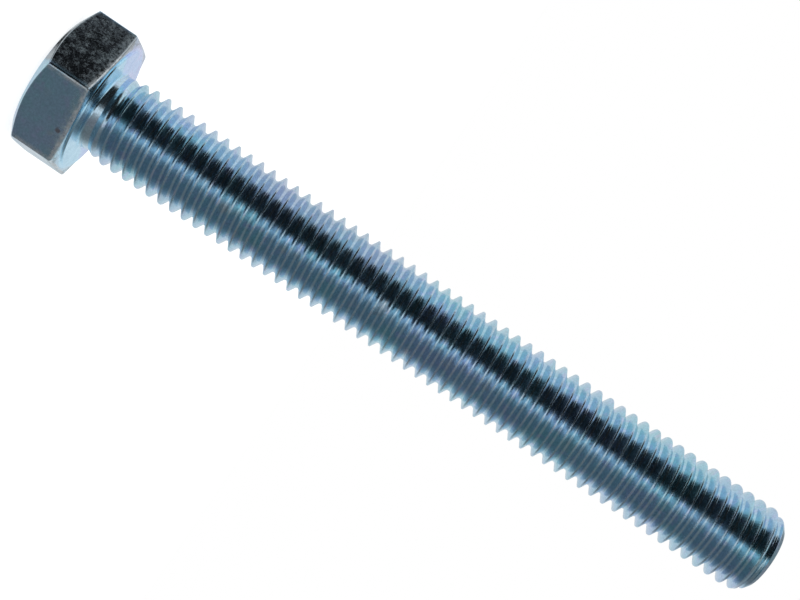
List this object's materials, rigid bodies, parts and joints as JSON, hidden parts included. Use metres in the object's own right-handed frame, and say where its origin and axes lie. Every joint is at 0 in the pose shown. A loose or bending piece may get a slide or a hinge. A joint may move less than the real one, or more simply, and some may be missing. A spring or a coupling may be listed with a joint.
{
  "type": "hexagon head bolt",
  "caption": "Fully threaded hexagon head bolt in zinc-plated steel: chamfered head with washer face, right-hand metric coarse thread and chamfered point.",
  "frame": {"origin": "centre of the bearing face, where the underside of the head meets the shank", "axes": "+Z along the shank from the head to the point; +X towards a corner of the hexagon; +Y square to a flat"},
  "size_m": [0.0184, 0.016, 0.0917],
  "materials": {
    "zinc_plate": "electroplated zinc with a clear blue passivation, satin to bright"
  },
  "bodies": {
    "root": {"hex_head": "zinc_plate", "threaded_shank": "zinc_plate"}
  },
  "joints": []
}
